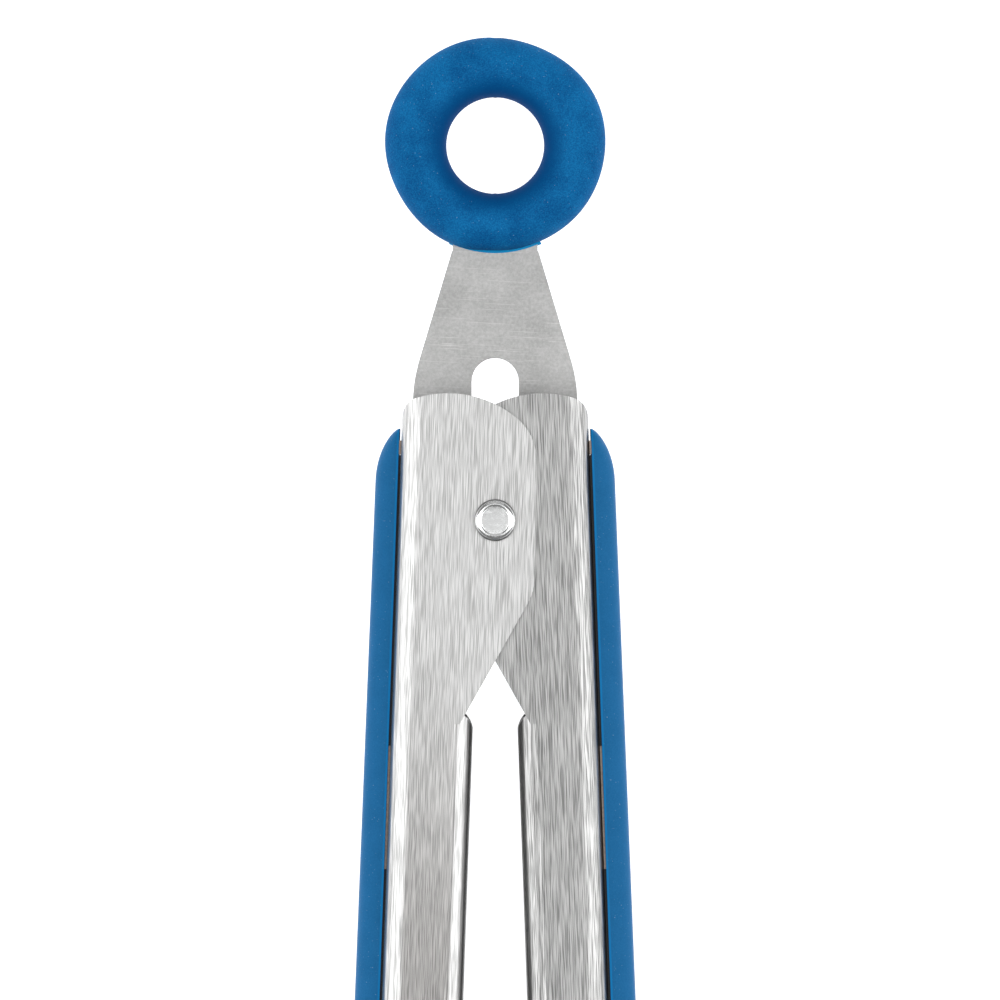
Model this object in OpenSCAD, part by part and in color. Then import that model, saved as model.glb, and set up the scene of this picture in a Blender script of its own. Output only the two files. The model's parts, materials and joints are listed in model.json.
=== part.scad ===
// Spring loaded kitchen tongs, lying on their side, pulled shut and locked.
// The rivet stands along Z, the arms run along Y with the pull ring at +Y, and the jaws open along X.
// Shapes are drawn about the pivot. place() then moves them so that the origin is on the table,
// in the middle of the tongs.

/* [Arms] */
// Thickness of the arm sheet
sheet_t = 0.8; // [0.7:0.05:0.8]
// Depth of the outer arm's channel, along the rivet
outer_depth = 22; // [20:0.5:25]
// Distance from the pivot to the outside of each arm's back wall
arm_out = 12; // [12:0.1:12.6]
// Lean of each arm away from the middle, in degrees
arm_lean = 2; // [1.6:0.1:2.2]
// Width of the channels below the pivot
channel_w = 10.1; // [9.6:0.1:10.6]
// Outside radius of the bends in the sheet
bend_r = 2.4; // [1.6:0.1:2.4]
// Depth of the lip that is rolled into the channel
lip_h = 2.6; // [2:0.1:3]
// Length of the steel arms below the pivot
arm_reach = 206; // [200:1:212]
// Height above the pivot where the back walls end
wall_top = 13.3; // [12.8:0.1:13.6]

/* [Ears round the pivot] */
// Distance of the ear's straight edge past the middle, near its top
ear_past = 5.1; // [4.8:0.1:5.4]
// Radius of the broad curve over the ear
crown_r = 13.5; // [13:0.1:14]
// Radius where the broad curve turns down into the straight edge
shoulder_r = 6.5; // [5.5:0.1:7]
// Radius where the straight edge turns into the slanting edge
elbow_r = 6; // [4:0.5:8]
// Slant of the lower edge of the ear, in degrees
cut_angle = 29.4; // [28:0.1:31]
// Depth below the pivot at which the two slanting edges cross
notch_depth = 17.5; // [17:0.1:18]

/* [Pivot] */
// Diameter of the rivet's shank
rivet_d = 3; // [2.8:0.1:3.2]
// Diameter of the rivet's head
rivet_head_d = 5.2; // [4.8:0.1:6]
// Diameter of the thick half of the pivot sleeve
sleeve_d = 8; // [7.4:0.1:8.6]
// Diameter of the thin half, inside the slot and the spring
neck_d = 5.5; // [5.3:0.1:5.6]

/* [Spring] */
// Diameter of the spring wire
wire_d = 1.3; // [1.1:0.05:1.35]
// Mean diameter of the coil
coil_d = 7.4; // [7.3:0.1:7.8]
// Distance below the pivot that the spring's legs reach
leg_reach = 31; // [26:1:34]

/* [Lock plate and pull ring] */
// Travel of the lock plate
travel = 17.3; // [16.5:0.1:17.5]
// Thickness of the plate
plate_t = 1; // [0.8:0.1:1.2]
// Half of the plate's greatest width
plate_half = 10.3; // [10.1:0.05:10.3]
// Width of the slot
slot_w = 5.9; // [5.8:0.05:6.2]
// Slant of the plate's shoulders, in degrees
taper = 16.7; // [16:0.1:18]
// Outside diameter of the pull ring
ring_d = 27.2; // [26:0.1:28]
// Diameter of the hole in the ring
hole_d = 12.2; // [11.6:0.1:12.6]
// Thickness of the ring
ring_t = 9; // [8:0.5:10]
// Height of the ring's centre above the pivot
ring_y = 46.8; // [46:0.1:48]

/* [Grips] */
// Thickness of a grip, with the strip under it
grip_t = 3.5; // [3.4:0.1:4]
// Length of a grip below the pivot
grip_reach = 122; // [114:1:128]
// Height of a grip's upper end above the pivot
grip_top = 11.4; // [10.8:0.1:12]
// Thickness of the strip between the grip and the steel
strip_t = 0.3; // [0.3:0.05:0.5]

/* [Heads] */
// Distance from the pivot to the tips of the heads
tip_reach = 263; // [262:0.5:264]
// Width of the heads
head_w = 39; // [38:0.5:40]
// Distance from the middle to the back of each head
head_back = 21; // [20.5:0.1:21.5]
// Radius of the cup's outside
cup_r = 40; // [39:0.5:41]
// Thickness of the silicone
skin_t = 3; // [2.8:0.1:3.2]
// Number of lobes round the edge of each head
lobes = 11; // [9:2:13]

/* [Hidden] */
$fn = 64;

// Clearances: a turning fit on the rivet, and a gap between pieces that slide or are slipped in
fit = 0.05;
gap = 0.1;
far = 60;

// The inner arm nests inside the ears of the outer one
inner_depth = outer_depth - 2 * (sheet_t + gap);
inside = inner_depth / 2 - sheet_t;

// Ear outline, from its tangent arcs
crown_c = [-5.9, 2.25];
shoulder_x = ear_past - shoulder_r;
shoulder_y = crown_c.y + sqrt(pow(crown_r - shoulder_r, 2) - pow(shoulder_x - crown_c.x, 2));
shoulder_a = atan2(shoulder_y - crown_c.y, shoulder_x - crown_c.x);
heel_r = 2.5;
heel_x = -arm_out + wall_top * tan(arm_lean) + heel_r;
heel_y = crown_c.y + sqrt(pow(crown_r - heel_r, 2) - pow(heel_x - crown_c.x, 2));
heel_a = atan2(heel_y - crown_c.y, heel_x - crown_c.x);
edge_lean = 1.6;
elbow_x = ear_past - notch_depth / 2 * tan(edge_lean) - elbow_r;
elbow_y = (elbow_r + cos(cut_angle) * elbow_x) / sin(cut_angle) - notch_depth;

// Start of the rolled lip, and the corner that it begins with
lip_top = -notch_depth - 6.8;
lip_corner = [2.1, 2.9];
lip_corner_a = 60;
lip_x = -arm_out + channel_w + lip_top * tan(arm_lean);

// The lock plate rests on the sleeve's step, and slides between it and the washer
plate_gap = 0.2;
washer_t = 0.5;
coil_top = -plate_t / 2 - plate_gap - washer_t - gap;
plate_foot = 7;
plate_round = 20;
plate_shoulder = 17.25;
plate_neck_y = 33.6;
stem_half = 5.3;
eye_in = 7.8;
eye_out = 11.4;

// Spring: the coil takes up the turn between its two legs
spring_r = coil_d / 2;
leg_lean = 15.6;
coil_turns = 4 + (180 - 2 * leg_lean) / 360;
coil_start = coil_top - wire_d / 2 - gap;
coil_drop = 6;
coil_steps = 68;

// Grips, drawn beside the back wall
grip_half = 8.6;
grip_corner = 2.6;
swell = 0.5;
nose = 6.6;
nose_power = 0.68;
tail = 24;
core_t = 1.7;
core_half = 6.6;
core_top = 4;
core_foot = grip_reach - 10;
strip_top = 8.1;
strip_half = 8.2;
window = [28, 43.5];
stud_d = 4;
studs = [20, 60, 104];
clip_d = 8;
clip_t = 0.6;

// Heads: a ball shell, cut to the outline of a lobed spoon
cup_x = cup_r - head_back;
cup_y = -tip_reach + sqrt(pow(cup_r, 2) - pow(cup_x + gap, 2));
rim_r = head_w / 2;
rim_y = -tip_reach + rim_r;
lobe_r = 3.4;
lobe_depth = 1.5;
lobe_sweep = 112.5;
plate_in = 0.9;
core_skin = 1.2;
core_rim = rim_r - 4.2;
throat_y = -arm_reach - 16;
throat_half = outer_depth / 2 - 0.5;
throat_inset = 2;
tang_l = 32;
cross_rivets = [-arm_reach + 10, -arm_reach + 22];
cross_head_r = 2.8;
cross_head_t = 0.9;

// Points of an arc about [x, y], of a circle or of an upright oval
function arc(x, y, r, from, to, n = 8) = oval(x, y, r, r, from, to, n);
function oval(x, y, rx, ry, from, to, n = 8) =
    [for (i = [0:n]) let (a = from + (to - from) * i / n) [x + rx * cos(a), y + ry * sin(a)]];

// Frames. Left is -X; beside_wall() has its origin level with the pivot on the outside of the
// left arm's back wall, with x towards the middle and y up along the wall
module place() {
    translate([0, (tip_reach - ring_y - ring_d / 2) / 2, rim_r]) children();
}
module beside_wall() {
    translate([-arm_out, 0, 0]) rotate([0, 0, -arm_lean]) children();
}
module prism(half) {
    linear_extrude(2 * half, center = true) children();
}
// Stands a section, drawn in x and z, along y between two heights
module along_y(from, to) {
    translate([0, to, 0]) rotate([90, 0, 0]) linear_extrude(to - from) children();
}

// --- Arms ---------------------------------------------------------------------------------

// Section of a channel with its back wall at x = 0
module channel_section(w, half) {
    polygon(concat(
        [[w, -half]],
        arc(bend_r, -half + bend_r, bend_r, 270, 180),
        arc(bend_r, half - bend_r, bend_r, 180, 90),
        [[w, half], [w, half - sheet_t]],
        arc(bend_r, half - bend_r, bend_r - sheet_t, 90, 180),
        arc(bend_r, -half + bend_r, bend_r - sheet_t, 180, 270),
        [[w, -half + sheet_t]]
    ));
}

// The same, with the free edge of each flange rolled inwards
module lipped_section(w, half) {
    difference() {
        polygon(concat(
            arc(bend_r, -half + bend_r, bend_r, 270, 180),
            arc(bend_r, half - bend_r, bend_r, 180, 90),
            arc(w - bend_r, half - bend_r, bend_r, 90, 0),
            arc(w - bend_r, -half + bend_r, bend_r, 0, -90)
        ));
        polygon(concat(
            arc(bend_r, -half + bend_r, bend_r - sheet_t, 270, 180),
            arc(bend_r, half - bend_r, bend_r - sheet_t, 180, 90),
            arc(w - bend_r, half - bend_r, bend_r - sheet_t, 90, 0),
            arc(w - bend_r, -half + bend_r, bend_r - sheet_t, 0, -90)
        ));
        translate([w / 2, -half + lip_h]) square([w, 2 * (half - lip_h)]);
    }
}

// Outline of the left arm's ear, down to the start of the lip
module ear_outline() {
    low = lip_top - 1;
    polygon(concat(
        arc(shoulder_x, shoulder_y, shoulder_r, 0, shoulder_a),
        arc(crown_c.x, crown_c.y, crown_r, shoulder_a, heel_a, 16),
        arc(heel_x, heel_y, heel_r, heel_a, 180),
        [[-far, heel_y], [-far, low], [(low + notch_depth) * tan(cut_angle), low]],
        arc(elbow_x, elbow_y, elbow_r, -cut_angle, 0)
    ));
}

// Outline of the left arm from the start of the lip to its end
module limb_outline() {
    polygon(concat(
        [[-far, lip_top]],
        oval(lip_x - lip_corner.x, lip_top - lip_corner.y * sin(lip_corner_a),
            lip_corner.x, lip_corner.y, lip_corner_a, 0),
        [[lip_x, -tip_reach], [-far, -tip_reach]]
    ));
}

// A whole arm, drawn as the left one
module arm(depth) {
    difference() {
        union() {
            intersection() {
                beside_wall() along_y(lip_top - 5, far) channel_section(far / 2, depth / 2);
                prism(depth) ear_outline();
            }
            intersection() {
                beside_wall() along_y(-arm_reach, 0) lipped_section(channel_w, depth / 2);
                prism(depth) limb_outline();
            }
        }
        cylinder(d = rivet_d + 2 * fit, h = 2 * depth, center = true);
        beside_wall() {
            for (y = cross_rivets)
                translate([channel_w / 2, y, 0])
                    cylinder(d = rivet_d + 2 * fit, h = 2 * depth, center = true);
            for (y = studs)
                translate([0, -y, 0]) rotate([0, 90, 0])
                    cylinder(d = stud_d + gap, h = 3 * sheet_t, center = true);
        }
    }
}

module outer_arm() {
    color("gainsboro") place() arm(outer_depth);
}

module inner_arm() {
    color("silver") place() mirror([1, 0, 0]) arm(inner_depth);
}

// --- Pivot --------------------------------------------------------------------------------

module pivot_rivet() {
    head_z = outer_depth / 2 + gap / 2;
    head_h = 1.4;
    dish = 0.25;
    tail_z = -head_z - washer_t;
    tail_r = 2.4;
    tail_h = 1.1;
    color("whitesmoke") place() rotate_extrude() polygon([
        [0, tail_z - tail_h], [tail_r * 0.6, tail_z - tail_h],
        [tail_r * 0.9, tail_z - tail_h / 2], [tail_r, tail_z],
        [rivet_d / 2, tail_z], [rivet_d / 2, head_z],
        [rivet_head_d / 2, head_z], [rivet_head_d / 2, head_z + head_h * 0.4],
        [rivet_head_d * 0.44, head_z + head_h * 0.8], [rivet_head_d * 0.37, head_z + head_h],
        [rivet_head_d * 0.31, head_z + head_h - dish / 2], [0, head_z + head_h - dish],
    ]);
}

module rivet_washer() {
    color("lightgray") place()
        translate([0, 0, -outer_depth / 2 - gap / 2 - washer_t]) difference() {
            cylinder(d = sleeve_d - 1, h = washer_t);
            translate([0, 0, -1]) cylinder(d = rivet_d + fit, h = washer_t + 2);
        }
}

module pivot_sleeve() {
    step = plate_t / 2 + plate_gap;
    top = inside - gap;
    bore_r = rivet_d / 2 + fit;
    color("ivory") place() rotate_extrude() polygon([
        [bore_r, -top], [neck_d / 2, -top], [neck_d / 2, step],
        [sleeve_d / 2, step], [sleeve_d / 2, top], [bore_r, top],
    ]);
}

module slide_washer() {
    color("ivory") place()
        translate([0, 0, coil_top + gap]) difference() {
            cylinder(d = sleeve_d + 1.6, h = washer_t);
            translate([0, 0, -1]) cylinder(d = neck_d + 2 * gap, h = washer_t + 2);
        }
}

// The wire's path: left leg, coil going down, right leg, all round bends of one helix
function leg_end(side, z) =
    let (reach = leg_reach, x = arm_out + reach * tan(arm_lean) - sheet_t - wire_d / 2 - gap)
    [side * x, -reach, z];
function coil_point(i) =
    let (a = 180 - leg_lean - 360 * coil_turns * i / coil_steps)
    [spring_r * cos(a), spring_r * sin(a), coil_start - coil_drop * i / coil_steps];
wire_path = concat(
    [leg_end(-1, coil_start)],
    [for (i = [0:coil_steps]) coil_point(i)],
    [leg_end(1, coil_start - coil_drop)]
);

// A round wire swept along a path that runs nearly level
module wire(path, d, sides = 8) {
    last = len(path) - 1;
    function ahead(i) = path[min(i + 1, last)] - path[max(i - 1, 0)];
    function across(i) = let (t = ahead(i)) [t.y, -t.x, 0] / norm([t.x, t.y]);
    points = [for (i = [0:last], k = [0:sides - 1])
        path[i] + d / 2 * (cos(360 * k / sides) * across(i) + [0, 0, sin(360 * k / sides)])];
    walls = [for (i = [0:last - 1], k = [0:sides - 1]) let (n = (k + 1) % sides)
        [i * sides + k, i * sides + n, (i + 1) * sides + n, (i + 1) * sides + k]];
    first_cap = [for (k = [sides - 1:-1:0]) k];
    last_cap = [for (k = [0:sides - 1]) last * sides + k];
    polyhedron(points, concat([first_cap], walls, [last_cap]), convexity = 10);
}

module torsion_spring() {
    color("darkgray") place() wire(wire_path, wire_d);
}

// --- Lock plate and pull ring -------------------------------------------------------------

// Right half of the plate's blade. Its shoulder is an arc between the side and the taper
function blade_edge() = concat(
    arc(plate_half - 2, 2 - plate_foot, 2, -90, 0),
    arc(plate_half - plate_round, plate_shoulder - plate_round * tan(taper / 2), plate_round,
        0, taper),
    [[plate_half - (plate_neck_y - plate_shoulder) * tan(taper), plate_neck_y]]
);
function mirrored(points) = [for (i = [len(points) - 1:-1:0]) [-points[i].x, points[i].y]];

// Blade with its eye, without the slot. grow leaves room for it inside the ring
module plate_outline(grow = 0) {
    polygon(concat(blade_edge(), mirrored(blade_edge())));
    difference() {
        union() {
            translate([0, ring_y]) circle(r = eye_out + grow);
            translate([-stem_half - grow, plate_neck_y - 1]) square([2 * (stem_half + grow), 6]);
        }
        translate([0, ring_y]) circle(r = eye_in - grow);
    }
}

module lock_plate() {
    slot_end = slot_w / 2;
    color("silver") place() difference() {
        prism(plate_t / 2) plate_outline();
        prism(plate_t) polygon(concat(
            arc(0, 0, slot_end, 180, 360, 16),
            arc(0, travel, slot_end, 0, 180, 16)
        ));
    }
}

module pull_ring() {
    r_in = hole_d / 2;
    r_out = ring_d / 2;
    round_r = 3.4;
    half = ring_t / 2;
    color("steelblue") place() difference() {
        translate([0, ring_y, 0]) rotate_extrude() polygon(concat(
            arc(r_in + round_r, -half + round_r, round_r, 180, 270, 6),
            arc(r_out - round_r, -half + round_r, round_r, 270, 360, 6),
            arc(r_out - round_r, half - round_r, round_r, 0, 90, 6),
            arc(r_in + round_r, half - round_r, round_r, 90, 180, 6)
        ));
        translate([-far / 2, plate_neck_y - far, -far / 2]) cube(far);
        prism(plate_t / 2 + fit / 2) plate_outline(fit);
    }
}

// --- Grips, beside the left arm's back wall -----------------------------------------------

// Section of a pad that lies against x = -strip_t and is rounded on its outer side
module pad_section() {
    polygon(concat(
        [[-strip_t, grip_half]],
        arc(grip_corner - grip_t, grip_half - grip_corner, grip_corner, 90, 180),
        arc(grip_corner - grip_t, grip_corner - grip_half, grip_corner, 180, 270),
        [[-strip_t, -grip_half]]
    ));
}

// Side outline of the pad: a pointed nose at its top, a slight swell, and an oval tail
function nose_point(s) =
    [-strip_t - (grip_t - swell - strip_t) * pow(1 - s * s, nose_power), grip_top - nose * (1 - s)];
module pad_side() {
    polygon(concat(
        [for (i = [0:12]) nose_point(1 - pow(i / 12, 1.5))],
        oval(-strip_t, tail - grip_reach, grip_t - strip_t, tail, 180, 270)
    ));
}

module core_bar(grow) {
    translate([-core_t - grow, -core_foot - grow, -core_half - grow])
        cube([core_t - strip_t + grow, core_foot + core_top + 2 * grow, 2 * (core_half + grow)]);
}

module pad() {
    beside_wall() difference() {
        intersection() {
            prism(grip_half + 1) pad_side();
            along_y(-grip_reach, grip_top) pad_section();
        }
        core_bar(fit);
    }
}

module left_grip() {
    color("royalblue") place() pad();
}

module right_grip() {
    color("royalblue") place() mirror([1, 0, 0]) pad();
}

// Black carrier: a bar inside the pad, two strips on the steel, and studs through the wall
module carrier() {
    strips = [[-window[0], strip_top], [-grip_reach + 4, -window[1]]];
    beside_wall() {
        core_bar(0);
        for (s = strips)
            translate([-strip_t, s[0], -strip_half]) cube([strip_t, s[1] - s[0], 2 * strip_half]);
        for (y = studs)
            translate([-strip_t - gap, -y, 0]) rotate([0, 90, 0])
                cylinder(d = stud_d, h = strip_t + gap + sheet_t + clip_t + 0.6);
    }
}

module left_grip_carrier() {
    color("black") place() carrier();
}

module right_grip_carrier() {
    color("black") place() mirror([1, 0, 0]) carrier();
}

module clips() {
    beside_wall() for (y = studs)
        translate([sheet_t, -y, 0]) rotate([0, 90, 0]) difference() {
            cylinder(d = clip_d, h = clip_t);
            translate([0, 0, -1]) cylinder(d = stud_d + fit, h = clip_t + 2);
        }
}

module left_grip_clips() {
    color("darkgray") place() clips();
}

module right_grip_clips() {
    color("darkgray") place() mirror([1, 0, 0]) clips();
}

// --- Heads, drawn as the left one ---------------------------------------------------------

// Solid between two balls about the cup's centre
module ball_shell(outer, inner) {
    translate([cup_x, cup_y, 0]) difference() {
        sphere(r = outer);
        sphere(r = inner);
    }
}

// Extrudes an outline, drawn in y and z, from far out on the left to just short of the middle
module across_head(stop) {
    translate([-far, 0, 0]) rotate([90, 0, 90]) linear_extrude(far - stop) children();
}

// Outline of the spoon seen from between the jaws
module spoon_outline(r, neck_half) {
    translate([rim_y, 0]) circle(r = r);
    polygon([
        [-arm_reach - 1, -neck_half], [rim_y + r * 0.3, -r * 0.95],
        [rim_y + r * 0.3, r * 0.95], [-arm_reach - 1, neck_half],
    ]);
}

// The same with round lobes along its lower edge
module lobed_outline() {
    spoon_outline(rim_r - lobe_depth, 9);
    for (i = [0:lobes - 1]) let (a = 180 - lobe_sweep + 2 * lobe_sweep * i / (lobes - 1))
        translate([rim_y + (rim_r - lobe_r) * cos(a), (rim_r - lobe_r) * sin(a)]) circle(r = lobe_r);
}

// Side outline of the throat, which joins the end of the channel to the back of the cup
module throat_side(inset, top) {
    x0 = -arm_out - arm_reach * tan(arm_lean);
    back = cup_x - sqrt(pow(cup_r, 2) - pow(throat_y - cup_y, 2));
    front_x = x0 + channel_w - 0.3 - inset;
    polygon([
        [x0 + 0.3 + inset, top], [front_x, top], [front_x, -arm_reach - 4 + inset],
        [back + skin_t * 0.8, throat_y - 2 + inset], [back + inset, throat_y + inset],
    ]);
}

// Stiff plate inside the silicone, with a throat. grow makes the pocket that it sits in
module core_plate(grow) {
    outer = cup_r - plate_in;
    intersection() {
        ball_shell(outer + grow, outer - core_skin - grow);
        across_head(gap) spoon_outline(core_rim + grow, 7 + grow);
    }
    prism(throat_half - throat_inset + grow) throat_side(throat_inset - grow, -arm_reach + 1);
}

// Section of the tang, which fills the channel and has round corners like it
module tang_section(half) {
    r = bend_r - sheet_t;
    low = sheet_t + gap + r;
    high = channel_w - low;
    polygon(concat(
        arc(low, half - r, r, 180, 90), arc(high, half - r, r, 90, 0),
        arc(high, r - half, r, 0, -90), arc(low, r - half, r, 270, 180)
    ));
}

module core(depth) {
    core_plate(0);
    beside_wall() difference() {
        along_y(-arm_reach, tang_l - arm_reach) tang_section(depth / 2 - sheet_t - gap);
        for (y = cross_rivets)
            translate([channel_w / 2, y, 0])
                cylinder(d = rivet_d + 2 * fit, h = 2 * depth, center = true);
    }
}

module tip() {
    difference() {
        union() {
            intersection() {
                ball_shell(cup_r, cup_r - skin_t);
                across_head(gap) lobed_outline();
            }
            prism(throat_half) throat_side(0, -arm_reach - 3 * gap);
        }
        core_plate(fit);
    }
}

// Rivets across the arm's end, with the same round head on both sides
module head_rivets(depth) {
    half = depth / 2;
    beside_wall() for (y = cross_rivets)
        translate([channel_w / 2, y, 0]) rotate_extrude() polygon(concat(
            [[0, -half - cross_head_t]],
            arc(cross_head_r - cross_head_t, -half, cross_head_t, 270, 360, 4),
            [[rivet_d / 2, -half], [rivet_d / 2, half]],
            arc(cross_head_r - cross_head_t, half, cross_head_t, 0, 90, 4),
            [[0, half + cross_head_t]]
        ));
}

module left_head_core() {
    color("dimgray") place() core(outer_depth);
}

module right_head_core() {
    color("dimgray") place() mirror([1, 0, 0]) core(inner_depth);
}

module left_head_tip() {
    color("royalblue") place() tip();
}

module right_head_tip() {
    color("royalblue") place() mirror([1, 0, 0]) tip();
}

module left_head_rivets() {
    color("whitesmoke") place() head_rivets(outer_depth);
}

module right_head_rivets() {
    color("whitesmoke") place() mirror([1, 0, 0]) head_rivets(inner_depth);
}

pull_ring();
lock_plate();
outer_arm();
inner_arm();
pivot_rivet();
rivet_washer();
pivot_sleeve();
slide_washer();
torsion_spring();
left_grip();
right_grip();
left_grip_carrier();
right_grip_carrier();
left_grip_clips();
right_grip_clips();
left_head_core();
right_head_core();
left_head_tip();
right_head_tip();
left_head_rivets();
right_head_rivets();
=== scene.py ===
# %% [markdown]
# # Locking kitchen tongs
# The tongs lie on their side and are shut. One rivet holds two channel-shaped steel arms, a lock
# plate slides on it, and a soft ring is moulded on the plate's end. The CAD frame fixes every size
# and place, so this lesson only gives the pieces their fine shape and their finish. Blender works
# in metres here; MM turns the small sizes of a hand tool into numbers that are easy to read.

# %% Load the frame
import json
import math

import bmesh
import bpy
from mathutils import Matrix, Vector


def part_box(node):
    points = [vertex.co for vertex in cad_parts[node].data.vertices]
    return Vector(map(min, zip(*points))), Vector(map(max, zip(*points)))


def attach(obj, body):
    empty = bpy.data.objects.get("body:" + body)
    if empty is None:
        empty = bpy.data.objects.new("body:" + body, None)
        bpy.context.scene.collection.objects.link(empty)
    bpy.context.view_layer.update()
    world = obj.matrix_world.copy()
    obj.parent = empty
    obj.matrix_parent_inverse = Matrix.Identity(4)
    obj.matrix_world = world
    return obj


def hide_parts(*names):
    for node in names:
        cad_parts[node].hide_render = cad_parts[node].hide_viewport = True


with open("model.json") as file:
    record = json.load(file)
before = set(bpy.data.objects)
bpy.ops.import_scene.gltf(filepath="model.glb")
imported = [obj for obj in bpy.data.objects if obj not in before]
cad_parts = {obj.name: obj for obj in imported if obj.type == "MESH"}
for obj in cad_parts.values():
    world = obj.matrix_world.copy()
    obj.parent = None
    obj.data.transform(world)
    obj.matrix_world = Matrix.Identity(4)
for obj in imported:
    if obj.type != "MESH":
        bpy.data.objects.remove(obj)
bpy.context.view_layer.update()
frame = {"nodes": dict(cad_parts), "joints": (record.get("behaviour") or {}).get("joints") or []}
MM = 0.001
nodes = frame["nodes"]
swing = next(j for j in frame["joints"] if j["name"] == "left_arm_swing")
PIVOT = Vector(swing["pos_m"])
print("nodes:", len(nodes), "pivot at", [round(v, 4) for v in PIVOT])

# %% [markdown]
# The two arms mirror each other, so most shapes are made once, beside the left arm. There a point
# is given in millimetres from the outside of the back wall: x towards the middle, y up along the
# wall and z along the rivet. One matrix takes such a point to its place, and a mirror makes the
# right arm's.

# %% Frames to work in
ARM_LEAN = math.radians(2)
ARM_OUT = 12.0


def about_pivot():
    return Matrix.Translation(PIVOT) @ Matrix.Scale(MM, 4)


def beside_wall():
    lean = Matrix.Rotation(-ARM_LEAN, 4, "Z")
    return about_pivot() @ Matrix.Translation((-ARM_OUT, 0, 0)) @ lean


MIRROR = Matrix.Translation(PIVOT) @ Matrix.Scale(-1, 4, (1, 0, 0)) @ Matrix.Translation(-PIVOT)
SIDES = {"left": Matrix.Identity(4), "right": MIRROR}
print("wall frame starts at", [round(v, 4) for v in beside_wall().translation])

# %% [markdown]
# A finished piece is a mesh whose object sits at the origin. Every piece is handed over in the same
# few steps: put the mesh in place, turn its faces outwards, shade it smooth, give it its material,
# and say which body it moves with and which CAD nodes it stands for.

# %% Handing over a piece
def finish_piece(name, bm, place, material, body, stands_for=(), sharp=35):
    bmesh.ops.transform(bm, matrix=place, verts=bm.verts)
    bmesh.ops.remove_doubles(bm, verts=bm.verts, dist=0.002 * MM)
    bmesh.ops.recalc_face_normals(bm, faces=bm.faces)
    for face in bm.faces:
        face.smooth = True
    mesh = bpy.data.meshes.new(name)
    bm.to_mesh(mesh)
    bm.free()
    mesh.set_sharp_from_angle(angle=math.radians(sharp))
    piece = bpy.data.objects.new(name, mesh)
    bpy.context.scene.collection.objects.link(piece)
    mesh.materials.append(material)
    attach(piece, body)
    for node in stands_for:
        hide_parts(node)
    print(f"{name}: {len(mesh.polygons)} faces, rides on {body}")
    return piece


# %% [markdown]
# ## Finishes
# Shader maths reads best as plain arithmetic. This small class wraps a node's output, so that
# adding, subtracting or multiplying two of them makes the Math node that does it.

# %% Shader arithmetic
class Value:
    def __init__(self, tree, socket):
        self.tree = tree
        self.socket = socket

    def math(self, operation, first, second, clamp=False):
        node = self.tree.nodes.new("ShaderNodeMath")
        node.operation = operation
        node.use_clamp = clamp
        for socket, item in zip(node.inputs, (first, second)):
            if isinstance(item, Value):
                self.tree.links.new(item.socket, socket)
            else:
                socket.default_value = item
        return Value(self.tree, node.outputs[0])

    def __add__(self, other):
        return self.math("ADD", self, other)

    def __mul__(self, other):
        return self.math("MULTIPLY", self, other)

    def __rsub__(self, other):
        return self.math("SUBTRACT", other, self)

    __radd__ = __add__
    __rmul__ = __mul__

    def clamped(self):
        return self.math("ADD", self, 0.0, clamp=True)


# %% [markdown]
# A finish starts as a material with one Principled shader. Numbers that are the same all over are
# set on its sockets. What varies is linked: a colour, a roughness, and a height that goes through a
# Bump node into Normal. The patterns are noise in Object coordinates, stretched by a Mapping node.

# %% A finish and its patterns
class Finish:
    def __init__(self, name, **constants):
        self.material = bpy.data.materials.new(name)
        self.material.use_nodes = True
        self.tree = self.material.node_tree
        self.shader = self.tree.nodes["Principled BSDF"]
        for socket, number in constants.items():
            self.shader.inputs[socket.replace("_", " ")].default_value = number

    def node(self, kind, settings=None, **inputs):
        node = self.tree.nodes.new(kind)
        for key, setting in (settings or {}).items():
            setattr(node, key, setting)
        for key, item in inputs.items():
            socket = node.inputs[key.replace("_", " ")]
            if isinstance(item, Value):
                self.tree.links.new(item.socket, socket)
            else:
                socket.default_value = item
        return node

    def coords(self, scale=(1, 1, 1), turn=0.0, centre=(0, 0, 0)):
        here = Value(self.tree, self.node("ShaderNodeTexCoord").outputs["Object"])
        moved = self.node("ShaderNodeVectorMath", {"operation": "SUBTRACT"}, Vector=here)
        moved.inputs[1].default_value = centre
        turned = self.node("ShaderNodeMapping", Vector=Value(self.tree, moved.outputs[0]),
                           Rotation=(0, 0, turn))
        grown = self.node("ShaderNodeMapping", Vector=Value(self.tree, turned.outputs[0]),
                          Scale=scale)
        return Value(self.tree, grown.outputs[0])

    def noise(self, vector, detail=2.0, roughness=0.5):
        made = self.node("ShaderNodeTexNoise", Vector=vector, Scale=1.0, Detail=detail,
                         Roughness=roughness)
        return Value(self.tree, made.outputs["Fac"])

    def ramp(self, value, low, high):
        made = self.node("ShaderNodeMapRange", {"interpolation_type": "SMOOTHSTEP"}, Value=value)
        made.inputs["From Min"].default_value = low
        made.inputs["From Max"].default_value = high
        return Value(self.tree, made.outputs["Result"])

    def part(self, vector, axis):
        made = self.node("ShaderNodeSeparateXYZ", Vector=vector)
        return Value(self.tree, made.outputs[axis])

    def mix(self, factor, first, second):
        made = self.node("ShaderNodeMix", {"data_type": "RGBA"})
        self.tree.links.new(factor.socket, made.inputs[0])
        for socket, item in zip((made.inputs[6], made.inputs[7]), (first, second)):
            if isinstance(item, Value):
                self.tree.links.new(item.socket, socket)
            else:
                socket.default_value = (*item, 1)
        return Value(self.tree, made.outputs[2])

    def colour(self, value):
        self.tree.links.new(value.socket, self.shader.inputs["Base Color"])

    def rough(self, value):
        self.tree.links.new(value.socket, self.shader.inputs["Roughness"])

    def height(self, value, distance):
        bump = self.node("ShaderNodeBump", Height=value, Distance=distance, Strength=1.0)
        self.tree.links.new(bump.outputs[0], self.shader.inputs["Normal"])


def per_mm(x, y, z):
    return (x / MM, y / MM, z / MM)


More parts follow.
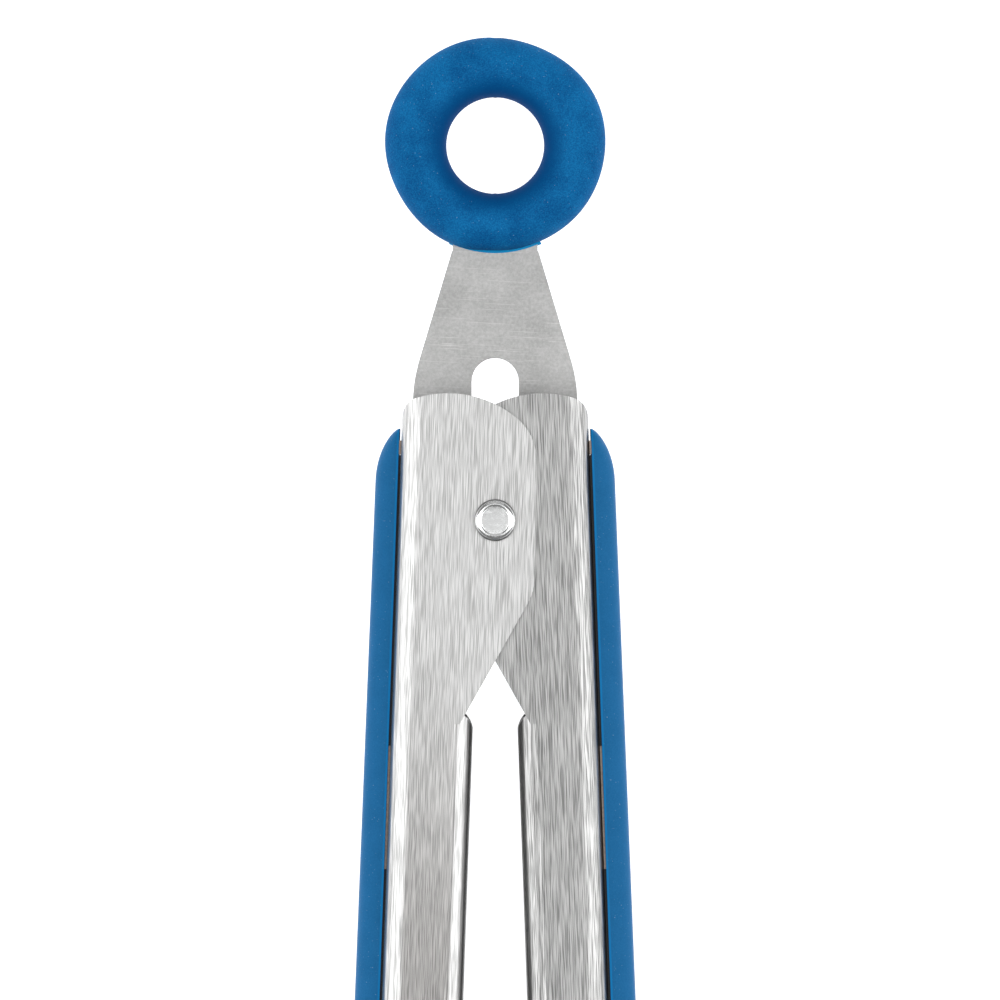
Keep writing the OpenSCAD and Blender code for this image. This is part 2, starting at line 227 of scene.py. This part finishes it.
# %% [markdown]
# Brushed steel: a belt drags grit along the sheet before it is bent, so it is covered with fine
# streaks that run the length of the arm, a tenth of a millimetre wide and a few millimetres long.
# The same streaks tint the colour, roughen the shine and cut a shallow relief. Broad, faint bands
# keep a long arm from looking printed. Towards its lower end the outer arm's flat side turns a
# darker, faintly warm grey, and its bends stay bright. On real steel that is most likely the light
# falling off. Here it is painted on, because flat metal seen from far away hardly shows it, so it
# stays where it is when the view changes.

# %% Brushed steel
FLAT_START, FLAT_END = (1.8 * MM, 2.7 * MM), (8.6 * MM, 7.8 * MM)
DARKENS_OVER = (-8 * MM, -66 * MM)


def brushed_steel(name, light, dark, lean, shine=0.3, low_end=None):
    finish = Finish(name, Metallic=1.0)
    streaks = finish.noise(finish.coords(per_mm(11, 0.16, 11), lean, PIVOT), detail=2.0,
                           roughness=0.6)
    hairs = finish.noise(finish.coords(per_mm(17, 0.3, 17), lean, PIVOT), detail=1.0)
    bands = finish.noise(finish.coords(per_mm(0.35, 0.02, 0.35), lean, PIVOT), detail=1.0)
    grain = finish.ramp(streaks * 0.6 + hairs * 0.4, 0.41, 0.59)
    shade = (grain * 0.8 + bands * 0.2).clamped()
    metal = finish.mix(shade, dark, light)
    if low_end:
        here = finish.coords(turn=lean, centre=PIVOT)
        inward = ARM_OUT * MM + finish.part(here, "X")
        flat = finish.ramp(inward, *FLAT_START) * finish.ramp(inward, *FLAT_END)
        low = finish.ramp(finish.part(here, "Y"), *DARKENS_OVER)
        darker = finish.mix(shade, [0.36 * c for c in low_end], low_end)
        metal = finish.mix(flat * low, metal, darker)
    finish.colour(metal)
    finish.rough(shine + 0.10 * (1 - grain))
    finish.height(grain, 0.0012 * MM)
    return finish.material


OUTER_STEEL = brushed_steel("outer_arm_steel", (0.83, 0.83, 0.825), (0.34, 0.34, 0.337),
                            ARM_LEAN, low_end=(0.54, 0.527, 0.515))
# Painted shade: the inner arm is the same steel as the outer arm, set darker all over to stand in
# for the light that it gets less of.
SHADED_INNER_STEEL = brushed_steel("inner_arm_steel", (0.64, 0.64, 0.635), (0.17, 0.17, 0.168),
                            -ARM_LEAN)
print("brushed steels ready")

# %% [markdown]
# The lock plate is stamped from flat sheet and tumbled with stones. That leaves a dull, even grey
# with no direction: a fine salt-and-pepper mottle, and a few faint scratches across it where it
# slides between the arms.

# %% Tumbled steel of the lock plate
def tumbled_steel():
    finish = Finish("plate_steel", Metallic=1.0)
    mottle = finish.noise(finish.coords(per_mm(3, 3, 3), 0, PIVOT), detail=4.0, roughness=0.7)
    clouds = finish.noise(finish.coords(per_mm(0.16, 0.16, 0.16), 0, PIVOT), detail=2.0)
    lines = finish.noise(finish.coords(per_mm(0.12, 9, 9), 0.05, PIVOT), detail=1.0)
    scratch = finish.ramp(lines, 0.66, 0.74)
    shade = (finish.ramp(mottle, 0.3, 0.7) * 0.6 + finish.ramp(clouds, 0.3, 0.7) * 0.4).clamped()
    plain = finish.mix(shade, (0.36, 0.36, 0.355), (0.54, 0.54, 0.535))
    finish.colour(finish.mix(scratch * 0.5, plain, (0.70, 0.70, 0.69)))
    finish.rough(0.44 - 0.08 * scratch)
    finish.height(mottle, 0.006 * MM)
    return finish.material


PLATE_STEEL = tumbled_steel()
print("plate steel ready")

# %% [markdown]
# The rivet heads are the only mirror-bright metal. Handling leaves a faint uneven wear, which
# breaks up the reflections just enough to look like metal. The pivot rivet's head is painted dark
# at
# its foot: a painted shade where the head meets the arm. Spring wire and the little clips are
# duller and a shade darker.

# %% Polished and drawn metal
HEAD_FOOT = 11.9
FOOT_SHADE = (0.12, 0.12, 0.12)


def plain_metal(name, light, dark, shine, grain_mm, foot=None):
    finish = Finish(name, Metallic=1.0)
    wear = finish.noise(finish.coords(per_mm(grain_mm, grain_mm, grain_mm)), detail=3.0,
                        roughness=0.6)
    worn = finish.ramp(wear, 0.35, 0.7)
    metal = finish.mix(worn, dark, light)
    if foot:
        # Painted shade: below HEAD_FOOT the head is painted near-black, where it meets the arm.
        height = finish.part(finish.coords(centre=PIVOT), "Z")
        clean = finish.ramp(height, foot * MM, (foot + 0.3) * MM)
        metal = finish.mix(clean, FOOT_SHADE, metal)
    finish.colour(metal)
    finish.rough(shine + 0.09 * worn)
    finish.height(wear, 0.004 * MM)
    return finish.material


RIVET_STEEL = plain_metal("rivet_steel", (0.86, 0.87, 0.87), (0.74, 0.75, 0.75), 0.14, 2.0)
PIVOT_STEEL = plain_metal("pivot_steel", (0.97, 0.98, 0.98), (0.89, 0.90, 0.90), 0.12, 2.0,
                          HEAD_FOOT)
SPRING_STEEL = plain_metal("spring_steel", (0.52, 0.52, 0.51), (0.36, 0.36, 0.35), 0.3, 3.0)
print("rivet and spring steels ready")

# %% [markdown]
# Moulded silicone rubber is matt: light scatters from a fine texture, left by the mould, that dulls
# the shine completely. Its blue is not quite even, with soft darker clouds, and it collects specks
# of pale dust. Where the grips feather out against the arm the rubber is thin, and a brighter blue
# is
# painted there: painted light, for light shining through the thin rubber. Round the ring's hole the
# blue is painted darker: painted shade, where little light gets in.

# %% Silicone rubber
BLUE = (0.008, 0.200, 0.500)
DEEP_BLUE = (0.001, 0.080, 0.265)
HOLE_SHADE_BLUE = (0.000, 0.078, 0.262)
PAD_BLUE = (0.014, 0.168, 0.410)
DARK_PAD_BLUE = (0.009, 0.142, 0.350)
LIT_EDGE_BLUE = (0.004, 0.210, 0.540)
DUST = (0.35, 0.55, 0.70)
RING_Y = 46.8


def rubber(name, light, dark, shine, gloss=0.12, edge_side=None, hole=None):
    finish = Finish(name, Specular_IOR_Level=gloss)
    fine = finish.noise(finish.coords(per_mm(5.5, 5.5, 5.5)), detail=3.0, roughness=0.7)
    clouds = finish.noise(finish.coords(per_mm(0.28, 0.28, 0.28)), detail=3.0)
    specks = finish.noise(finish.coords(per_mm(4.5, 4.5, 4.5)), detail=1.0)
    dust = finish.ramp(specks, 0.72, 0.80)
    shade = (finish.ramp(clouds, 0.3, 0.7) * 0.4 + finish.ramp(fine, 0.35, 0.65) * 0.6).clamped()
    plain = finish.mix(shade, dark, light)
    dusty = finish.mix(dust * 0.4, plain, DUST)
    if hole:
        # Painted shade: the blue is painted darker near the ring's hole, where little light gets
        # in.
        from_hole = finish.node("ShaderNodeVectorMath", {"operation": "LENGTH"},
                                Vector=finish.coords(scale=(1, 1, 0), centre=hole))
        reach = Value(finish.tree, from_hole.outputs["Value"])
        dusty = finish.mix(finish.ramp(reach, 9.5 * MM, 6.2 * MM), dusty, HOLE_SHADE_BLUE)
    if edge_side:
        # Painted light: along the thin edge the blue is painted brighter, for light shining through
        # the rubber.
        across = finish.part(finish.coords(turn=edge_side * ARM_LEAN, centre=PIVOT), "X")
        thin = finish.ramp(across * -edge_side, (ARM_OUT + 0.62) * MM, (ARM_OUT + 0.45) * MM)
        dusty = finish.mix(thin, dusty, LIT_EDGE_BLUE)
    finish.colour(dusty)
    finish.rough(shine + 0.12 * fine)
    finish.height(fine, 0.012 * MM)
    return finish.material


RING_RUBBER = rubber("ring_rubber", BLUE, DEEP_BLUE, 0.62, gloss=0.05,
                     hole=PIVOT + Vector((0, RING_Y * MM, 0)))
# Painted light: the feather edge's brighter blue stands in for light shining through thin rubber.
FLASH_RUBBER = rubber("flash_rubber", (0.010, 0.330, 0.680), (0.008, 0.250, 0.560), 0.55)
GRIP_RUBBER = {
    "left": rubber("left_grip_rubber", PAD_BLUE, DARK_PAD_BLUE, 0.55, edge_side=1),
    "right": rubber("right_grip_rubber", PAD_BLUE, DARK_PAD_BLUE, 0.55, edge_side=-1),
}
TIP_SILICONE = rubber("tip_silicone", PAD_BLUE, DARK_PAD_BLUE, 0.42)
print("rubbers ready")

# %% [markdown]
# The plastics are small and mostly hidden: black carriers under the grips, dark cores in the heads,
# and the pale sleeve on the rivet. A fine mould texture is enough for them.

# %% Plastics
def plastic(name, light, dark, shine):
    finish = Finish(name)
    fine = finish.noise(finish.coords(per_mm(3.5, 3.5, 3.5)), detail=3.0)
    finish.colour(finish.mix(finish.ramp(fine, 0.3, 0.7), dark, light))
    finish.rough(shine + 0.15 * fine)
    finish.height(fine, 0.01 * MM)
    return finish.material


CARRIER_PLASTIC = plastic("carrier_plastic", (0.010, 0.010, 0.011), (0.004, 0.004, 0.005), 0.5)
CORE_PLASTIC = plastic("core_plastic", (0.035, 0.036, 0.04), (0.02, 0.02, 0.024), 0.45)
# Painted shade: this tan sheet stands in for the brownish shade seen in the gaps beside the grips.
GAP_SHADE_SHEET = plastic("window_shade_sheet", (0.42, 0.33, 0.27), (0.30, 0.23, 0.19), 0.6)
SLEEVE_PLASTIC = plastic("sleeve_plastic", (0.78, 0.76, 0.69), (0.70, 0.68, 0.60), 0.4)
print("plastics ready")

# %% [markdown]
# ## Steel sheet
# The frame's arms and lock plate have the right outline but razor edges. Stamped sheet has a burr
# that is tumbled off, and those narrow rounded edges catch the light. A copy of the frame's mesh is
# cleaned into large flat faces, and a Bevel modifier then rounds only its true corners.

# %% Rounding the edges of the frame's sheet metal
def soften(node, material, body, width, segments=2):
    bm = bmesh.new()
    bm.from_mesh(nodes[node].data)
    bmesh.ops.remove_doubles(bm, verts=bm.verts, dist=0.001 * MM)
    bmesh.ops.dissolve_limit(bm, angle_limit=math.radians(0.5), verts=bm.verts, edges=bm.edges)
    piece = finish_piece(node + "_soft", bm, Matrix.Identity(4), material, body, [node])
    bevel = piece.modifiers.new("edge", "BEVEL")
    bevel.width = width * MM
    bevel.segments = segments
    bevel.limit_method = "ANGLE"
    bevel.angle_limit = math.radians(40)
    bevel.harden_normals = True
    return piece


soften("outer_arm", OUTER_STEEL, "left_arm", 0.3, 3)
soften("inner_arm", SHADED_INNER_STEEL, "right_arm", 0.3, 3)
soften("lock_plate", PLATE_STEEL, "pull_tab", 0.12)

# %% [markdown]
# ## Turned shapes
# A rivet is round about its own axis, so it is made as a lathe would: an outline of half its
# section is spun a full turn. The outline is given as radius and height, and a spin with use_merge
# closes the last gap.

# %% The lathe
def lathe(outline, steps=72):
    bm = bmesh.new()
    verts = [bm.verts.new((r, 0, z)) for r, z in outline]
    edges = [bm.edges.new(pair) for pair in zip(verts, verts[1:])]
    bmesh.ops.spin(bm, geom=verts + edges, cent=(0, 0, 0), axis=(0, 0, 1),
                   angle=math.tau, steps=steps, use_merge=True)
    return bm


def bow(x, z, rx, rz, start, stop, steps=6):
    turn = [math.radians(start + (stop - start) * i / steps) for i in range(steps + 1)]
    return [(x + rx * math.cos(a), z + rz * math.sin(a)) for a in turn]


# %% [markdown]
# The pivot rivet has a low head in front: a steep rounded rim, and a shallow dish where the setting
# punch pressed. The shank reaches through both arms, and its far end is hammered into a dome over
# a washer.

# %% Pivot rivet
rivet_low, rivet_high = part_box("pivot_rivet")
HEAD_R = (rivet_high.x - rivet_low.x) / 2 / MM
HEAD_TOP = (rivet_high.z - PIVOT.z) / MM
TAIL_END = (rivet_low.z - PIVOT.z) / MM
HEAD_H = 1.4
SHANK_R = 1.5
RIM_R, RIM_H = 0.62, 0.85
TAIL_R, TAIL_H = 2.35, 1.1
tail_top, head_foot = TAIL_END + TAIL_H, HEAD_TOP - HEAD_H
outline = [(0, TAIL_END)] + bow(0, tail_top, TAIL_R, TAIL_H, -70, -4)
outline += [(SHANK_R, tail_top), (SHANK_R, head_foot), (HEAD_R - 0.06, head_foot)]
outline += bow(HEAD_R - RIM_R, HEAD_TOP - RIM_H, RIM_R, RIM_H, -15, 90, 10)
dish = ((1.90, 0.01), (1.85, 0.03), (1.81, 0.06), (1.77, 0.085), (1.73, 0.093), (1.68, 0.095),
        (1.2, 0.10), (0.6, 0.104), (0, 0.105))
outline += [(r, HEAD_TOP - drop) for r, drop in dish]
finish_piece("pivot_rivet_turned", lathe(outline, 96), about_pivot(), PIVOT_STEEL, "pivot",
             ["pivot_rivet"], sharp=50)

# %% [markdown]
# The arm ends carry two cross rivets each, with the same domed head on both sides. Their places
# come from the frame: each node's box holds both rivets, and they lie at its two ends.

# %% Cross rivets of the heads
CROSS_R, CROSS_H = 2.8, 0.9


def cross_rivet(half):
    profile = [(0, -half - CROSS_H)] + bow(0, -half, CROSS_R, CROSS_H, -80, 0)
    profile += [(SHANK_R, -half), (SHANK_R, half)]
    profile += bow(0, half, CROSS_R, CROSS_H, 0, 80) + [(0, half + CROSS_H)]
    return lathe(profile, 48)


for side in SIDES:
    node = side + "_head_rivets"
    low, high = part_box(node)
    half = (high.z - low.z) / 2 / MM - CROSS_H
    inset = CROSS_R * MM
    xs = (low.x + inset, high.x - inset)
    ys = (low.y + inset, high.y - inset)
    both = bmesh.new()
    for x, y in zip(xs if side == "left" else xs[::-1], ys):
        one = cross_rivet(half)
        bmesh.ops.transform(one, matrix=Matrix.Translation((x, y, PIVOT.z)) @ Matrix.Scale(MM, 4),
                            verts=one.verts)
        spare = bpy.data.meshes.new("spare")
        one.to_mesh(spare)
        both.from_mesh(spare)
        bpy.data.meshes.remove(spare)
        one.free()
    finish_piece(node + "_turned", both, Matrix.Identity(4), RIVET_STEEL, side + "_arm",
                 [node], sharp=50)

# %% [markdown]
# ## The pull ring
# A fat ring of soft rubber with an oval section. It could be a torus, but the real one is moulded:
# not quite round, a little flat where it meets the plate, and with a fine line down the middle
# where the two halves of the mould met. So an oval is spun, and its points are then eased.

# %% Pull ring
ring_low, ring_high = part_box("pull_ring")
RING_R = (ring_high.x - ring_low.x) / 2 / MM
RING_HALF = (ring_high.z - ring_low.z) / 2 / MM
HOLE_R = 6.1
FLAT_AT = -13.1
SEAM_DEEP, SEAM_TURN = 0.05, 0.02
band = (RING_R - HOLE_R) / 2
bm = bmesh.new()
bmesh.ops.create_circle(bm, segments=40, radius=1.0)
bmesh.ops.rotate(bm, verts=bm.verts, cent=(0, 0, 0), matrix=Matrix.Rotation(math.pi / 2, 3, "X"))
for v in bm.verts:
    fuller = 1.0 + 0.035 * (1 - math.cos(4 * math.atan2(v.co.z, v.co.x)))
    v.co.x = HOLE_R + band + band * v.co.x * min(fuller, 1.05 / max(abs(v.co.x), 0.3))
    v.co.z = RING_HALF * v.co.z * 0.98
bmesh.ops.spin(bm, geom=bm.verts[:] + bm.edges[:], cent=(0, 0, 0), axis=(0, 0, 1),
               angle=math.tau, steps=120, use_merge=True)
for v in bm.verts:
    angle = math.atan2(v.co.y, v.co.x)
    radius = math.hypot(v.co.x, v.co.y)
    outer = (radius - HOLE_R) / (2 * band)
    lumps = 0.10 * math.sin(3 * angle + 0.7) + 0.07 * math.sin(5 * angle - 1.1)
    seam = math.exp(-((abs(angle) - math.pi / 2) / SEAM_TURN) ** 2)
    ease = 1 + (lumps * outer - SEAM_DEEP * seam) / radius
    v.co.x *= ease * (1 + 0.014 * outer)
    v.co.y = v.co.y * ease * 0.985 + 0.17 * outer
    v.co.z *= 1 - 0.012 * seam
    v.co.y = max(v.co.y, FLAT_AT + 0.012 * v.co.x ** 2)
ring_place = about_pivot() @ Matrix.Translation((0, RING_Y, 0))
finish_piece("pull_ring_moulded", bm, ring_place, RING_RUBBER, "pull_tab",
             ["pull_ring"], sharp=80)

# %% [markdown]
# Where the plate enters the ring, a little rubber was squeezed along the steel on both faces. It is
# so thin that light shines through it, and that is painted as a brighter blue: painted light. A
# small circle swept through a part turn about the ring's centre makes this feather edge.

# %% Feather edge under the ring
FEATHER_R, FEATHER_THICK, FEATHER_TURN = 13.2, 0.42, 0.44


def part_torus(radius, thick, start, stop, steps, sides=10):
    bm = bmesh.new()
    bmesh.ops.create_circle(bm, segments=sides, radius=thick, cap_ends=True)
    bmesh.ops.rotate(bm, verts=bm.verts, cent=(0, 0, 0),
                     matrix=Matrix.Rotation(math.pi / 2, 3, "X"))
    bmesh.ops.translate(bm, verts=bm.verts, vec=(radius, 0, 0))
    bmesh.ops.rotate(bm, verts=bm.verts, cent=(0, 0, 0), matrix=Matrix.Rotation(start, 3, "Z"))
    bmesh.ops.spin(bm, geom=bm.faces[:], cent=(0, 0, 0), axis=(0, 0, 1), angle=stop - start,
                   steps=steps)
    return bm


down = -math.pi / 2
flash = part_torus(FEATHER_R, FEATHER_THICK, down - FEATHER_TURN, down + FEATHER_TURN, 24)
bmesh.ops.scale(flash, verts=flash.verts, vec=(1, 1, 1.5))
finish_piece("ring_feather_edge", flash, ring_place, FLASH_RUBBER, "pull_tab")

# %% [markdown]
# ## Grips
# Each grip is one long pad of silicone, moulded over a stiff strip. Its section is a flat D with
# soft corners, its upper end is blunt and its lower end feathers out. First come the sizes and the
# section, which is drawn in a unit square: z runs across the pad and x out from the steel.

# %% The pad's section
grip_low, grip_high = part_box("left_grip")
GRIP_TOP, GRIP_FOOT = 11.4, -122.0
GRIP_HALF = (grip_high.z - grip_low.z) / 2 / MM
STRIP = 0.3
NOSE, TAIL = 6.6, 24.0
THICK_TOP, THICK_FOOT = 2.7, 3.2


def pad_section():
    corner_z, corner_x = 0.26, 0.80
    points = [(1.0, 0.0), (1.0, 0.10)]
    points += bow(1 - corner_z, 1 - corner_x, corner_z, corner_x, 0, 90, 10)
    points += [(z / 6, 1.0 + 0.05 * (1 - (z / 4.5) ** 2)) for z in (3, 1.5, 0, -1.5, -3)]
    points += bow(corner_z - 1, 1 - corner_x, corner_z, corner_x, 90, 180, 10)
    points += [(-1.0, 0.10), (-1.0, 0.0), (-0.5, 0.0), (0.5, 0.0), (1.0, 0.0)]
    return points


print("points round the pad:", len(pad_section()))

# %% [markdown]
# The pad gets slowly thicker on its way down, and both ends round off. Thickness and width are
# therefore worked out for each height on the arm. Heights are set closer together near the ends,
# where the shape changes fast.

# %% Thickness and width along the pad
def pad_shape(v):
    nose_foot, tail_start = GRIP_TOP - NOSE, GRIP_FOOT + TAIL
    if v > nose_foot:
        along = min((v - nose_foot) / NOSE, 1)
        return THICK_TOP * (1 - along ** 2) ** 0.68, 1 - 0.12 * along ** 3
    if v < tail_start:
        along = min((tail_start - v) / TAIL, 1)
        return THICK_FOOT * math.sqrt(1 - along ** 2), 1 - 0.18 * along ** 3
    down = (nose_foot - v) / (nose_foot - tail_start)
    return THICK_TOP + (THICK_FOOT - THICK_TOP) * down, 1.0


def stations():
    top = [GRIP_TOP - NOSE * (i / 16) ** 1.6 for i in range(16)]
    middle_top, middle_foot = GRIP_TOP - NOSE, GRIP_FOOT + TAIL
    middle = [middle_top + (middle_foot - middle_top) * i / 40 for i in range(41)]
    foot = [GRIP_FOOT + TAIL * (1 - math.sin(math.pi / 2 * i / 16)) for i in range(1, 17)]
    return top + middle + foot


print("heights along the pad:", len(stations()))

# %% [markdown]
# No operator lofts a section along a line, so a flat grid is made first, and each of its points is
# then moved: its column says where round the section it is, and its row says how far along the
# grip. Points that fall together at the two ends are merged, which closes the pad.

# %% The pads
def grip_pad():
    section, rows = pad_section(), stations()
    bm = bmesh.new()
    bmesh.ops.create_grid(bm, x_segments=len(section) - 1, y_segments=len(rows) - 1, size=1.0)
    for v in bm.verts:
        z, x = section[round((v.co.x + 1) / 2 * (len(section) - 1))]
        y = rows[round((1 - v.co.y) / 2 * (len(rows) - 1))]
        thick, half = pad_shape(y)
        v.co = (-STRIP - thick * x, y, GRIP_HALF * half * z)
    bmesh.ops.remove_doubles(bm, verts=bm.verts, dist=0.01)
    return bm


for side, mirror in SIDES.items():
    finish_piece(side + "_grip_pad", grip_pad(), mirror @ beside_wall(), GRIP_RUBBER[side],
                 side + "_arm", [side + "_grip"], sharp=50)

# %% [markdown]
# The carrier under each grip leaves a window against the steel. A tan sheet fills it and the gap
# just above it: painted shade, standing in for the brownish shade seen in these gaps. Both bits are
# plain blocks, thinner than the gap that they fill.

# %% Shade sheet in the window
IN_WINDOW, ABOVE_CARRIER = (-43.4, -28.1), (8.2, 9.9)
SHADE_SHEET_THICK, SHADE_SHEET_WIDE = 0.24, 16.8
for side, mirror in SIDES.items():
    bm = bmesh.new()
    for low, high in (IN_WINDOW, ABOVE_CARRIER):
        middle = Matrix.Translation((-STRIP / 2, (low + high) / 2, 0))
        size = Matrix.Diagonal((SHADE_SHEET_THICK, high - low, SHADE_SHEET_WIDE, 1))
        bmesh.ops.create_cube(bm, size=1.0, matrix=middle @ size)
    finish_piece(side + "_window_shade_sheet", bm, mirror @ beside_wall(), GAP_SHADE_SHEET, side + "_arm")

# %% [markdown]
# The heads are silicone spoons with a lobed edge, moulded over a stiff core. The frame already has
# their outline and their cup. A wider bevel gives them the soft edge of moulded rubber.

# %% Head tips
for side in SIDES:
    soften(side + "_head_tip", TIP_SILICONE, side + "_arm", 0.6, 3)

# %% [markdown]
# ## Spring
# Spring wire is wound cold on a mandrel. The coil sits still round the sleeve, and its two legs
# swing with the arms. Each leg therefore owns the last bit of the coil: when the tongs open, that
# bit slides along the coil and no gap shows. The coil is a small circle that is spun and lowered a
# little at each step, and a leg is a plain cylinder laid between two points.

# %% Torsion spring
WIRE_R, COIL_R = 0.65, 3.7
COIL_TOP, COIL_DROP = -2.05, 6.0
LEG_LEAN = math.radians(15.6)
LEG_REACH = 31
WALL_GAP = 1.55
TURN = math.tau * 4 + math.pi - 2 * LEG_LEAN
KEEP = math.radians(13)


def coil(start, turn, z):
    steps = max(3, round(turn / math.radians(6)))
    bm = bmesh.new()
    bmesh.ops.create_circle(bm, segments=16, radius=WIRE_R, cap_ends=True)
    bmesh.ops.rotate(bm, verts=bm.verts, cent=(0, 0, 0),
                     matrix=Matrix.Rotation(math.pi / 2, 3, "X"))
    bmesh.ops.translate(bm, verts=bm.verts, vec=(COIL_R, 0, z))
    bmesh.ops.rotate(bm, verts=bm.verts, cent=(0, 0, 0), matrix=Matrix.Rotation(start, 3, "Z"))
    bmesh.ops.spin(bm, geom=bm.faces[:], cent=(0, 0, 0), axis=(0, 0, -1), angle=turn, steps=steps,
                   dvec=(0, 0, -COIL_DROP * turn / TURN / steps))
    return bm


def rod(bm, start, end):
    along = end - start
    turned = along.to_track_quat("Z", "Y").to_matrix().to_4x4()
    place = Matrix.Translation((start + end) / 2) @ turned
    bmesh.ops.create_cone(bm, cap_ends=True, segments=16, radius1=WIRE_R, radius2=WIRE_R,
                          depth=along.length, matrix=place)


finish_piece("spring_coil", coil(math.pi - LEG_LEAN - KEEP, TURN - 2 * KEEP,
                                 COIL_TOP - COIL_DROP * KEEP / TURN),
             about_pivot(), SPRING_STEEL, "pivot", ["torsion_spring"])
for side, sign, z, start in (("left", -1, COIL_TOP, math.pi - LEG_LEAN),
                             ("right", 1, COIL_TOP - COIL_DROP, LEG_LEAN + KEEP)):
    z_arc = z if side == "left" else z + COIL_DROP * KEEP / TURN
    leg = coil(start, KEEP, z_arc)
    foot_x = ARM_OUT + LEG_REACH * math.tan(ARM_LEAN) - WALL_GAP
    rod(leg, Vector((sign * COIL_R * math.cos(LEG_LEAN), COIL_R * math.sin(LEG_LEAN), z)),
        Vector((sign * foot_x, -LEG_REACH, z)))
    finish_piece(side + "_spring_leg", leg, about_pivot(), SPRING_STEEL, side + "_arm")

# %% [markdown]
# ## Pieces kept from the frame
# The hidden pieces are already right as they are: washers, sleeve, carriers, clips and cores. They
# only need their finish.

# %% Finishes for the other nodes
kept = {"rivet_washer": RIVET_STEEL}
kept["pivot_sleeve"] = kept["slide_washer"] = SLEEVE_PLASTIC
for side in SIDES:
    kept[side + "_grip_carrier"] = CARRIER_PLASTIC
    kept[side + "_grip_clips"] = SPRING_STEEL
    kept[side + "_head_core"] = CORE_PLASTIC
for node, material in kept.items():
    nodes[node].data.materials.clear()
    nodes[node].data.materials.append(material)
print("nodes kept as they are:", len(kept))

# %% [markdown]
# ## Studio
# Steel looks like whatever it reflects. Its flat faces see a soft panel high above the ring end,
# which is kept a little darker than white, so they read as grey. The bends see two long, brighter
# panels at the sides, which draw a white line along every arm. The floor is pale and glows a
# little, so that the tongs lie on clean white without a shadow.

# %% Floor and lights
FLOOR_HALF, FLOOR_DROP = 3.0, 0.0005


def floor():
    bm = bmesh.new()
    bmesh.ops.create_grid(bm, x_segments=1, y_segments=1, size=FLOOR_HALF)
    mesh = bpy.data.meshes.new("floor")
    bm.to_mesh(mesh)
    bm.free()
    plane = bpy.data.objects.new("floor", mesh)
    bpy.context.scene.collection.objects.link(plane)
    pale = Finish("floor_pale", Roughness=0.9)
    pale.shader.inputs["Base Color"].default_value = (0.8, 0.8, 0.8, 1)
    pale.shader.inputs["Emission Color"].default_value = (1, 1, 1, 1)
    pale.shader.inputs["Emission Strength"].default_value = 0.8
    mesh.materials.append(pale.material)
    plane.location.z = -FLOOR_DROP


def panel(name, spot, width, length, radiance):
    light = bpy.data.lights.new(name, "AREA")
    light.shape = "RECTANGLE"
    light.size, light.size_y = width, length
    light.energy = radiance * math.pi * width * length
    lamp = bpy.data.objects.new(name, light)
    bpy.context.scene.collection.objects.link(lamp)
    lamp.location = spot
    lamp.rotation_euler = (Vector(spot) - PIVOT).to_track_quat("Z", "Y").to_euler()
    lamp.visible_camera = False


floor()
panel("top_panel", (0, 0.62, 2.6), 1.2, 1.3, 0.54)
panel("far_panel", (0, 2.2, 1.4), 2.4, 1.0, 0.4)
panel("left_panel", (-1.4, 0, 1.45), 1.35, 3.0, 1.9)
panel("right_panel", (1.4, 0, 1.45), 1.35, 3.0, 1.9)

print("studio panels:", len(bpy.data.lights))

# %% [markdown]
# A dim, even world fills the shadows. The camera stands straight above the pivot, and so far away
# that the tongs show almost no perspective: WINDOW is the width of what it sees at the rivet, and
# the lens follows from it. The Standard view keeps the blues and the white as they are set.

# %% World and camera
world = bpy.data.worlds.new("studio")
world.use_nodes = True
world.node_tree.nodes["Background"].inputs["Color"].default_value = (0.8, 0.8, 0.8, 1)
world.node_tree.nodes["Background"].inputs["Strength"].default_value = 0.25
bpy.context.scene.world = world
bpy.context.scene.view_settings.view_transform = "Standard"

lens = bpy.data.cameras.new("camera")
lens.sensor_width = 36
AWAY, WINDOW = 1.5, 0.125
lens.lens = lens.sensor_width * AWAY / WINDOW
lens.clip_start, lens.clip_end = 0.05, 20
camera = bpy.data.objects.new("camera", lens)
bpy.context.scene.collection.objects.link(camera)
camera.location = PIVOT + Vector((0.0006, 0.0025, AWAY))
bpy.context.scene.camera = camera
print("camera looks straight down from", [round(v, 4) for v in camera.location])
